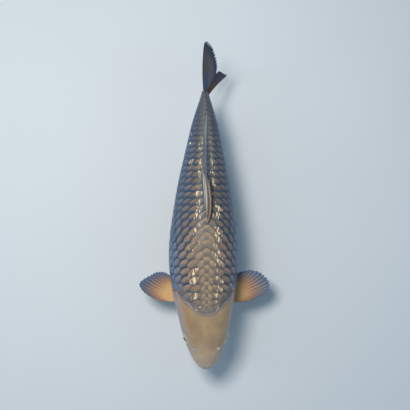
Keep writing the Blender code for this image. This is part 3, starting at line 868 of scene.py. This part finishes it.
def scale_faces(scales, n, m):
    """Faces and bake map: each scale has its own cell, at its row and column."""
    numbers = np.arange(n * m).reshape(n, m)
    run = np.concatenate([[0], np.cumsum(LOOP_CELLS)])
    run *= LOOPS_END / run[-1]
    faces, cell = [], []
    for grid, around in ((numbers, run), (numbers[:, [-1, 0]], SEAM_CELL)):
        sides, places = quads(grid, pairs(np.linspace(0, 1, n), around)[..., ::-1])
        faces += sides.tolist()
        cell += places.tolist()
    for ring, middle in ((numbers[0], 0.2), (numbers[-1, ::-1], 0.7)):
        faces.append(ring.tolist())
        cell += [(0.985 + 0.01 * math.cos(turn), middle + 0.1 * math.sin(turn)) for turn in turns(m)]
    cells = scales[:, [9, 8]].max(0) + (3, 1)
    uv = (scales[:, [9, 8]] + (0.04, 0))[:, None] / cells + np.array(cell) * (0.92, 0.94) / cells
    return [[k * n * m + i for i in face] for k in range(len(scales)) for face in faces], uv.reshape(-1, 2)


def scale_material():
    paint = Paint("carp_scale", 0.24, (0.05, 0.25))
    x, y, luck = paint.split(paint.read("local"))
    row, pitch, shear = paint.split(paint.read("cover"))
    tint = paint.read("tint", "Color")
    seed = paint.times(luck, 37.0)
    open_by, inner, from_rim = scale_outlines(paint, x, y, row, pitch, shear)
    patches = paint.stretched(2.0, (x, y, luck), (2.6, 2.6, 37.0))
    wavy = paint.math("MULTIPLY_ADD", patches, 0.24, -0.12)

    warm = paint.mix(paint.ramp(patches, 0.3, 0.7), paint.shaded(tint, (0.74, 0.8, 0.88)), tint)
    net_and_shade = paint.mix(paint.read("net_and_shade", "Fac"), rgb(150, 134, 114), rgb(56, 78, 100))
    # The net colour over each scale's front, where it tucks under the scales ahead, and along its rim: dark
    # edge pigment, and painted shade in the pockets under the overlapping scales.
    body = paint.mix(paint.ramp(paint.plus(inner, wavy), 0.02, 0.48), paint.mix(0.55, warm, net_and_shade), warm)
    body = paint.mix(paint.ramp(inner, -0.12, 0.1), net_and_shade, body)
    body = paint.mix(paint.ramp(from_rim, 0.02, 0.1, 0.85, 0.0), body, net_and_shade)
    body = paint.mix(paint.ramp(paint.noise(520.0, 3.0), 0.45, 0.75, 0.0, 0.22), body, rgb(96, 82, 72))
    shine = scale_shine(paint, x, y, seed, open_by)
    # painted glints in bright cream
    body = paint.mix(shine, body, rgb(252, 228, 182))
    ray = paint.math("ARCTAN2", x, paint.plus(y, 1.5))
    paint.raise_by(paint.stretched(1.0, (ray, y, seed), (90.0, 1.0, 1.0)), 0.0003, 0.5)
    paint.raise_by(paint.math("SINE", paint.times(from_rim, 70.0)), 0.0001, 0.35)
    return paint.finish(body, paint.ramp(shine, 0.0, 1.0, 0.44, 0.24))


def scale_outlines(paint, x, y, row, pitch, shear):
    """How far a point lies outside the scales over it, inside its pale patch behind the painted shade at
    its front, and inside its rim.
    """

    def beyond(dx, dy):
        """How far outside the rim of another scale a point lies."""
        squares = paint.plus(paint.times(dx, dx), paint.times(dy, dy))
        return paint.minus(paint.math("SQRT", squares), 1.0)

    step = paint.times(pitch, shear)
    alone = paint.math("LESS_THAN", shear, 0.01)  # 1 on the midline's scales
    ahead = beyond(x, paint.plus(y, pitch))
    below = beyond(paint.minus(x, row), paint.plus(y, paint.minus(pitch, step)))
    above = beyond(paint.plus(x, row), paint.plus(y, step))
    sides = paint.plus(paint.math("MINIMUM", below, above), paint.times(alone, 9.0))
    across = paint.math("POWER", paint.math("ABSOLUTE", x), 4.0)
    curve = paint.times(across, paint.math("MULTIPLY_ADD", alone, -1.7, 2.0))
    broad = paint.math("MULTIPLY_ADD", alone, 0.24, paint.plus(curve, 0.12))
    narrow = paint.math("MULTIPLY_ADD", paint.times(x, x), 0.95, 0.23)
    leaner = paint.minus(narrow, broad)
    front = paint.math("MULTIPLY_ADD", paint.read("slim", "Fac"), leaner, broad)
    return (
        paint.math("MINIMUM", ahead, sides),
        paint.minus(y, front),
        paint.times(beyond(x, y), -1.0),
    )


def scale_shine(paint, x, y, seed, open_by):
    """Painted glints: streaks of bright cream, standing for light reflected off some scales near the middle
    of the back.
    """
    glint = paint.read("glint", "Fac")
    comb = paint.stretched(1.0, (x, y, seed), (7.0, 1.0, 1.0))
    spots = paint.stretched(1.0, (x, y, seed), (1.5, 2.2, 1.0))
    level = paint.plus(paint.times(comb, 0.74), paint.times(spots, 0.26))
    shine = paint.ramp(paint.math("MULTIPLY_ADD", glint, 0.15, level), 0.632, 0.69)
    return paint.times(paint.times(shine, paint.ramp(open_by, 0.04, 0.22)), paint.ramp(glint, 0.06, 0.25))


def make_coat():
    material = scale_material()
    side = behind_head(side_scales())
    make_scales("scales_left", side, 1, material)
    make_scales("scales_right", side, -1, material)
    make_scales("scales_middle", behind_head(middle_scales()), 1, material, -0.0001)


# Fins. Each has a middle surface, given by r, from its first ray (0) to its last (1), and t, the
# share of a ray's length. They are the solids' own, but for small changes to the dorsal and tail fins.

DORSAL_SWAY = {0: 0.004, 0.1: -0.014, 0.2: -0.018, 0.4: -0.011, 0.8: -0.007, 1: 0.003}
DORSAL_FRONT_BOW = 0.014
DORSAL_DROOP = 0.012
ROOT_SINK = 0.004  # how deep the roots of the dorsal and anal fins lie in the body
TAIL_LENGTH = {
    0: 0.218, 0.2: 0.179, 0.35: 0.123, 0.464: 0.0985, 0.5: 0.1065, 0.55: 0.113, 0.6: 0.1165, 0.7: 0.127,
    0.8: 0.1425, 0.9: 0.1665, 1: 0.21,
}
TAIL_PITCH = {0: 36, 0.46: -2, 1: -46}  # degrees above the level
TAIL_SWEEP = {0: -2.5, 0.2: 8, 0.35: 21, 0.46: 26, 0.6: 28.7, 0.8: 33.9, 1: 41.3}  # to the fish's left
TAIL_CURL = 9
TAIL_SPLIT = (0.456, 0.464)
RIGHT_PECTORAL = {  # r: how far out to the side and how far back a ray's tip lies
    0: (0.181, 0.245), 0.2: (0.224, 0.279), 0.35: (0.233, 0.305), 0.55: (0.198, 0.332),
    0.75: (0.163, 0.3465), 0.9: (0.136, 0.345), 1: (0.114, 0.332),
}
LEFT_PECTORAL = {
    0: (0.18, 0.236), 0.2: (0.231, 0.261), 0.4: (0.253, 0.297), 0.6: (0.231, 0.334),
    0.8: (0.19, 0.3515), 1: (0.14, 0.347),
}
PECTORAL_ROOT_X = 0.088
FIN_ROOT, FIN_EDGE = 0.003, 0.0009  # a fin's thickness in metres
RAY_COLUMNS, FIN_ROWS = 9, 46


def dorsal_point(r, t):
    along = blend(r, 0.523, 0.85)
    slope = (back(along + 0.01) - back(along - 0.01)) / 0.02
    pitch = np.radians(blend(r, 23, 15)) + np.arctan(slope)
    reach = blend(r**0.8, 0.172, 0.084) * t
    out = np.clip(t, 0, 1)
    bow = DORSAL_FRONT_BOW * bump(r, 0.0, 0.07) * np.sin(math.pi * out**0.7)
    height = back(along) - ROOT_SINK + reach * np.sin(pitch) - DORSAL_DROOP * out**2
    return place(spread(DORSAL_SWAY, r) * out**0.7 + bow, along + reach * np.cos(pitch), height)


def anal_point(r, t):
    along = blend(r, 0.765, 0.838)
    length = blend(r**0.8, 0.125, 0.06)
    pitch = np.radians(blend(r, -60, -32))
    out = np.clip(t, 0, 1)
    bow = 0.1 * length * out**2
    height = belly(along) + ROOT_SINK + length * t * np.sin(pitch) + 0.6 * bow
    return place(0.004 * out**2, along + length * t * np.cos(pitch) + bow, height)


def tail_point(r, t):
    out = np.clip(t, 0, 1)
    length = spread(TAIL_LENGTH, r) * t
    pitch = np.radians(spread(TAIL_PITCH, r) * (1.15 - 0.15 * out))
    sweep = np.radians(spread(TAIL_SWEEP, r) + TAIL_CURL * (out - 1))
    root = blend(r, 0.062, -0.034)
    reach = length * np.cos(pitch)
    x = TAIL_ROLL * (root - TAIL_AXIS) + reach * np.sin(sweep)
    return place(x, 0.985 + reach * np.cos(sweep), root + length * np.sin(pitch))


def pectoral_point(r, t, side):
    tips = LEFT_PECTORAL if side > 0 else RIGHT_PECTORAL
    tip_x, tip_y = [spread({at: tip[k] for at, tip in tips.items()}, r) for k in (0, 1)]
    root_y = blend(r, 0.24, 0.284)
    bend = 0.1 * (tip_x - PECTORAL_ROOT_X) * t * (1 - t)
    out = (tip_x - PECTORAL_ROOT_X) * t + 0.6 * bend
    height = blend(r, -0.064, -0.074) - 0.14 * out + 0.9 * out**2
    return place(side * (PECTORAL_ROOT_X + out), root_y + (tip_y - root_y) * t - 2.2 * bend, height)


def pelvic_point(r, t, side):
    length = blend(r**1.4, 0.128, 0.066) * t
    turn = np.radians(blend(r, 62, 88))
    drop = np.radians(blend(r, 44, 24))
    back_by = length * np.sin(turn)
    return place(
        side * (blend(r, 0.046, 0.026) + length * np.cos(turn)),
        blend(r, 0.49, 0.512) + back_by * np.cos(drop),
        blend(r, -0.108, -0.12) - back_by * np.sin(drop),
    )


def make_fin(name, point, span, ray_count, tints, material, scallop=0.045, fork=0.23):
    """A fin with a ridge along every ray, each ray forked towards the free edge."""
    rows = np.concatenate([[-0.1], np.linspace(0, 1, FIN_ROWS - 1)])
    share, t = np.meshgrid(np.linspace(0, 1, ray_count * RAY_COLUMNS + 1), rows, indexing="ij")
    out = np.clip(t, 0, 1)
    phase = share * ray_count
    within = phase - np.floor(np.clip(phase, 0, ray_count - 1e-6)) - 0.5
    apart = fork * ease(out, 0.3, 1.0)
    width = 0.17 - 0.22 * apart
    ridge = np.maximum(bump(within, apart, width), bump(within, -apart, width))
    ragged = chance.random(ray_count + 1)[np.clip(phase.astype(int), 0, ray_count)]
    notch = scallop * (1 - ridge) * ease(out, 0.5, 1) * (0.6 + 0.8 * ragged)
    rounding = 1 - 0.06 * np.abs(2 * share - 1) ** 8
    reach = np.where(t < 0, t, t * rounding * (1 - notch))
    r = blend(share, *span)
    middle = point(r, reach)
    normal = unit(np.cross(np.gradient(middle, axis=0), np.gradient(middle, axis=1)))
    half = 0.5 * blend(out**0.7, FIN_ROOT, FIN_EDGE) * blend(ridge, 0.42, 1.0)
    lead = ease(share, 0.0, 0.04) * fall(share, 0.985, 1.0)
    offset = (half * blend(lead, 1.25, 1.0))[..., None] * normal
    attributes = {"ray": np.stack([ridge, out, share], -1), "tint": tints(r, out)}
    fin = plate_piece(name, middle + offset, middle - offset, attributes, material)
    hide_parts(name)


def fin_material(name, gap_colour, ray_shade, gap_shade, gloss, gap_fade=(0.35, 0.95, 0.9)):
    """Rays in the fin's own tint, with darker membrane between them."""
    paint = Paint(name, gloss, (0.4 * gloss, 0.25))
    ridge, out, share = paint.split(paint.read("ray"))
    tint = paint.read("tint", "Color")
    streak = paint.stretched(3.0, (share, out, 0.0), (160.0, 3.0, 1.0))
    rays = paint.mix(paint.ramp(streak, 0.35, 0.7), paint.shaded(tint, ray_shade), tint)
    start, end, most = gap_fade
    gaps = paint.mix(paint.ramp(out, start, end, 0.05, most), paint.shaded(tint, gap_shade), gap_colour)
    colour = paint.mix(paint.ramp(ridge, 0.12, 0.6), gaps, rays)
    paint.raise_by(paint.math("SINE", paint.times(out, 150.0)), 0.00012, 0.25)
    paint.raise_by(streak, 0.0004, 0.4)
    return paint.finish(colour, paint.ramp(streak, 0.3, 0.7, 0.36, 0.5))


def pelvic_tints(r, out):
    return straight({0: rgb(206, 176, 136), 1: rgb(150, 136, 130)}, out)


def anal_tints(r, out):
    return straight({0: rgb(150, 130, 116), 1: rgb(92, 88, 100)}, out)


def pectoral_tints(r, out):
    """Pale orange, blue-grey at the free edge, with a darker leading edge from a third of the way out. The
    blue-grey is painted light: a blue backdrop seen through the thin membrane.
    """
    rays = {
        0: rgb(252, 212, 152),
        0.35: rgb(250, 214, 154),
        0.6: rgb(198, 156, 120),
        0.85: rgb(132, 120, 116),
        1: rgb(84, 112, 146),
    }
    lead = 0.75 * fall(r, 0.02, 0.11) * ease(out, 0.25, 0.55)
    return layered(straight(rays, out), (lead, rgb(190, 126, 100)))


def tail_tints(r, out):
    """Slate above and rust below, with a gold root, a steel patch and dark blue free edges, and painted
    navy shade on the lower lobe's inner part, where the upper lobe shades it.
    """
    on_lower = ease(r, 0.455, 0.47)
    lower = layered(rgb(160, 102, 74), (ease(out, 0.35, 0.75), rgb(112, 60, 84)))
    colour = layered(
        rgb(132, 132, 136),
        (0.6 * bump(r, 0.16, 0.1) * ease(out, 0.2, 0.5), rgb(138, 132, 108)),
        (on_lower, lower),
        (0.85 * bump(r, 0.0, 0.05) * ease(out, 0.1, 0.4), rgb(160, 94, 82)),
        (0.8 * bump(r, 0.26, 0.1) * fall(out, 0.25, 0.6), rgb(72, 130, 176)),
        (0.9 * bump(r, 0.03, 0.13) * fall(out, 0.03, 0.24), rgb(186, 150, 86)),
    )
    # painted shade: navy where the upper lobe shades the lower one
    lower_lobe_shade = ease(r, 0.46, 0.48) * fall(r, 0.6, 0.74) * ease(out, 0.45, 0.62)
    return layered(
        colour,
        (on_lower, colour * 0.6),
        (0.85 * lower_lobe_shade, rgb(26, 30, 80)),
        (0.8 * ease(out, 0.72, 1.0), rgb(44, 48, 104)),
    )


def dorsal_tints(r, out):
    """Grey, with a light band behind two dark first rays, a blue rear and a darker free edge."""
    return layered(
        rgb(190, 178, 156),
        (bump(r, 0.15, 0.11) * ease(out, 0.1, 0.4), rgb(230, 236, 238)),
        (0.75 * bump(r, 0.045, 0.025), rgb(126, 92, 70)),
        (0.85 * bump(r, 0.0, 0.02), rgb(62, 52, 60)),
        (0.8 * ease(r, 0.3, 0.5), rgb(190, 206, 226)),
        (0.6 * ease(out, 0.85, 1.0), rgb(82, 94, 116)),
    )


def make_fins():
    cool = fin_material("fin_web", rgb(52, 66, 94), (0.74, 0.7, 0.68), (0.5, 0.52, 0.6), 0.05)
    # the warm fins' blue membrane colour is painted light from a blue backdrop, seen through the thin
    # membrane
    warm = fin_material(
        "fin_web_warm", rgb(68, 100, 142), (0.88, 0.8, 0.72), (0.66, 0.52, 0.44), 0.22, (0.5, 1.0, 0.85)
    )
    sail = fin_material("fin_web_sail", rgb(92, 80, 70), (0.8, 0.74, 0.68), (0.42, 0.34, 0.28), 0.4)
    make_fin("dorsal_fin", dorsal_point, (0, 1), 20, dorsal_tints, sail, scallop=0.05)
    make_fin("anal_fin", anal_point, (0, 1), 7, anal_tints, cool)
    make_fin("tail_fin_upper", tail_point, (0, TAIL_SPLIT[0]), 10, tail_tints, cool, scallop=0.06)
    make_fin("tail_fin_lower", tail_point, (TAIL_SPLIT[1], 1), 10, tail_tints, cool, scallop=0.05)
    for end, side in SIDES:
        pectoral, pelvic = [partial(point, side=side) for point in (pectoral_point, pelvic_point)]
        make_fin(
            f"pectoral_fin_{end}", pectoral, (0, 1), 16, pectoral_tints, warm, 0.03, 0.13
        )
        make_fin(f"pelvic_fin_{end}", pelvic, (0, 1), 9, pelvic_tints, warm)


# Eyes, nostril flaps and barbels

BARBELS = (  # name, distance behind the snout, angle below the level, length and thickness in metres
    ("barbel_front", 0.03, math.radians(-10), 0.015, 0.0012),
    ("barbel_rear", 0.052, math.radians(-26), 0.027, 0.0016),
)
FLAP_HALF_WIDTH, FLAP_HEIGHT, FLAP_THICKNESS = 0.0056, 0.0066, 0.0007


def make_eyes():
    material = eye_material()
    polar, spin = np.meshgrid(np.linspace(0, math.pi, 41), turns(48), indexing="ij")
    look = np.stack([polar, np.cos(spin), np.sin(spin)], -1)
    radius = EYE_RADIUS * (1 - 0.03 * bump(polar, math.radians(34), 0.1) + 0.02 * bump(polar, 0, 0.35))
    for end, side in SIDES:
        axis = eye_outward(side)
        first = unit(np.cross(axis, (0, 0, 1)))
        around = np.cos(spin)[..., None] * first + np.sin(spin)[..., None] * np.cross(axis, first)
        forward = (radius * np.cos(polar))[..., None] * axis
        rings = eye_middle(side) + forward + (radius * np.sin(polar))[..., None] * around
        eye = tube_piece(f"eyeball_{end}", rings, {"look": look}, material)
        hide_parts(f"eye_{end}")


def eye_material():
    paint = Paint("eye", 0.6, (1.0, 0.03), roughness=0.12)
    polar, a, b = paint.split(paint.read("look"))
    fibres = paint.stretched(2.0, (a, b, 0.0), (7.0, 7.0, 1.0))
    iris = paint.mix(paint.ramp(fibres, 0.3, 0.7), rgb(92, 98, 76), rgb(190, 196, 168))
    iris = paint.mix(paint.ramp(polar, 0.36, 0.44), rgb(222, 200, 140), iris)
    colour = paint.mix(paint.ramp(polar, 0.32, 0.36), (0.004, 0.004, 0.005), iris)
    flecks = paint.ramp(paint.noise(620.0), 0.42, 0.58)
    white = paint.mix(flecks, rgb(92, 100, 92), rgb(196, 206, 196))
    return paint.finish(paint.mix(paint.ramp(polar, 0.6, 0.72), colour, white))


def moist_material(name, scale, dark, light, roughness):
    paint = Paint(name, 0.5, (0.3, 0.2))
    return paint.finish(paint.mix(paint.ramp(paint.noise(scale), 0.35, 0.65), dark, light), roughness)


def make_nostril_flaps():
    """A raised pale flap between the two openings on each side."""
    material = moist_material("nostril_flap", 700.0, rgb(150, 158, 172), rgb(240, 240, 236), 0.4)
    across, up = np.meshgrid(np.linspace(-1, 1, 13), np.linspace(0, 1, 7), indexing="ij")
    height = FLAP_HEIGHT * np.sqrt(np.clip(1 - across**2, 0, 1)) + 0.0006
    for end, side in SIDES:
        root, out = body_point(*nostril_point(side)), body_normal(*nostril_point(side))
        sideways = unit(np.cross(out, (0, 1, 0)))
        rear = np.cross(sideways, out)
        rear *= np.sign(rear[1])
        flap = root + (across * FLAP_HALF_WIDTH * (1 - 0.15 * up))[..., None] * sideways
        flap = flap + (0.6 * up * height - 0.0004)[..., None] * out
        flap = flap + (0.0088 * up + 0.0018 * across**2 - 0.0034)[..., None] * rear
        thickness = (FLAP_THICKNESS * (1 - 0.4 * up))[..., None] * rear
        plate_piece(f"nostril_flap_{end}", flap, flap + thickness, {}, material)


def make_barbels():
    material = moist_material("barbel", 260.0, rgb(186, 142, 108), rgb(214, 178, 138), 0.42)
    t = np.concatenate([[-0.15], np.linspace(-0.15, 1, 22), [1.0]])
    bow = np.clip(t, 0, 1) ** 2
    taper = (1 - 0.65 * np.clip(t, 0, 1) ** 1.5) * (1 + 0.35 * bump(t, 0.0, 0.12))
    taper[[0, -1]] = 0
    spin = turns(14)[None, :, None]
    for name, along, angle, length, thick in BARBELS:
        for end, side in SIDES:
            run = [side * (0.36 * t - 0.16 * bow), 0.1 * t + 0.4 * bow, -(0.62 * t + 0.22 * bow)]
            path = body_point(along, on_side(angle, side)) + length * np.stack(run, -1)
            way = np.gradient(path[1:-1], axis=0)
            way = unit(np.concatenate([way[:1], way, way[-1:]]))
            first = unit(np.cross(way, (0, 1, 0)))
            around = np.cos(spin) * first[:, None] + np.sin(spin) * np.cross(way, first)[:, None]
            rings = path[:, None] + thick * taper[:, None, None] * around
            piece = tube_piece(f"{name}_skin_{end}", rings, {}, material)
            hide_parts(f"{name}_{end}")


# Stand, light, floor and camera

TARGET = Vector((0.0032, 0.001, 0.157)) + SHIFT  # what the middle of the picture shows
CAMERA_TILT = math.radians(4.3)
CAMERA_DISTANCE = 2.0
PICTURE_WIDTH = 0.878  # metres across the picture at the target
SENSOR = 36.0
FLOOR_HALF = 4.0


def board_material():
    paint = Paint("black_lacquer", 0.5, (0.6, 0.08))
    grain = paint.stretched(4.0, paint.split(paint.coordinates()), (260.0, 9.0, 260.0))
    colour = paint.mix(paint.ramp(grain, 0.35, 0.7), rgb(20, 19, 20), rgb(38, 34, 32))
    paint.raise_by(grain, 0.0002, 0.3)
    return paint.finish(colour, paint.ramp(grain, 0.3, 0.7, 0.28, 0.4))


def metal_material():
    paint = Paint("satin_steel", metallic=1.0)
    brush = paint.stretched(3.0, paint.split(paint.coordinates()), (90.0, 90.0, 2200.0))
    paint.raise_by(brush, 0.00005, 0.4)
    colour = paint.mix(brush, rgb(168, 170, 174), rgb(206, 208, 212))
    return paint.finish(colour, paint.ramp(brush, 0.3, 0.7, 0.24, 0.38))


def dress_stand():
    board, metal = board_material(), metal_material()
    for name, material in (("stand_base", board), ("stand_rod_front", metal), ("stand_rod_rear", metal)):
        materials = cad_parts[name].data.materials
        materials.clear()
        materials.append(material)


def add_camera():
    data = bpy.data.cameras.new("camera")
    data.sensor_width = SENSOR
    data.lens = SENSOR * CAMERA_DISTANCE / PICTURE_WIDTH
    camera = add_object("camera", data)
    backwards = Vector((-math.sin(CAMERA_TILT), 0.0, math.cos(CAMERA_TILT)))
    camera.location = TARGET + CAMERA_DISTANCE * backwards
    camera.rotation_euler = (0.0, -CAMERA_TILT, 0.0)
    bpy.context.scene.camera = camera


def add_area(name, direction, distance, size, energy, colour):
    data = bpy.data.lights.new(name, "AREA")
    data.shape = "RECTANGLE"
    data.size, data.size_y = size
    data.energy = energy
    data.color = colour
    light = add_object(name, data)
    direction = Vector(direction).normalized()
    light.location = TARGET + distance * direction
    light.rotation_mode = "QUATERNION"
    light.rotation_quaternion = (-direction).to_track_quat("-Z", "Y")


def add_surroundings():
    world = bpy.data.worlds.new("soft_box")
    bpy.context.scene.world = world
    world.use_nodes = True
    background = world.node_tree.nodes["Background"]
    background.inputs["Color"].default_value = (0.5, 0.75, 1.0, 1)
    background.inputs["Strength"].default_value = 0.3
    add_area("key", (-0.27, 0.22, 1.0), 1.9, (0.45, 0.45), 26.0, (1.0, 0.96, 0.9))
    add_area("strip_left", (-0.81, 0.0, 1.0), 1.6, (0.16, 1.0), 2.2, (0.82, 0.93, 1.0))
    add_area("strip_right", (0.81, 0.0, 1.0), 1.6, (0.16, 1.0), 0.8, (0.55, 0.78, 1.0))
    mesh = bpy.data.meshes.new("floor")
    corners = [(FLOOR_HALF * x, FLOOR_HALF * y, 0) for x, y in ((-1, -1), (1, -1), (1, 1), (-1, 1))]
    mesh.from_pydata(corners, [], [(0, 1, 2, 3)])
    paint = Paint("studio_floor")
    tone = paint.mix(paint.noise(3.0), (0.74, 0.77, 0.79), (0.78, 0.81, 0.83))
    mesh.materials.append(paint.finish(tone, 0.8))
    floor = add_object("floor", mesh)
    bpy.context.scene.view_settings.view_transform = "Standard"


make_skin()
make_coat()
make_fins()
make_eyes()
make_nostril_flaps()
make_barbels()
dress_stand()
add_surroundings()
add_camera()
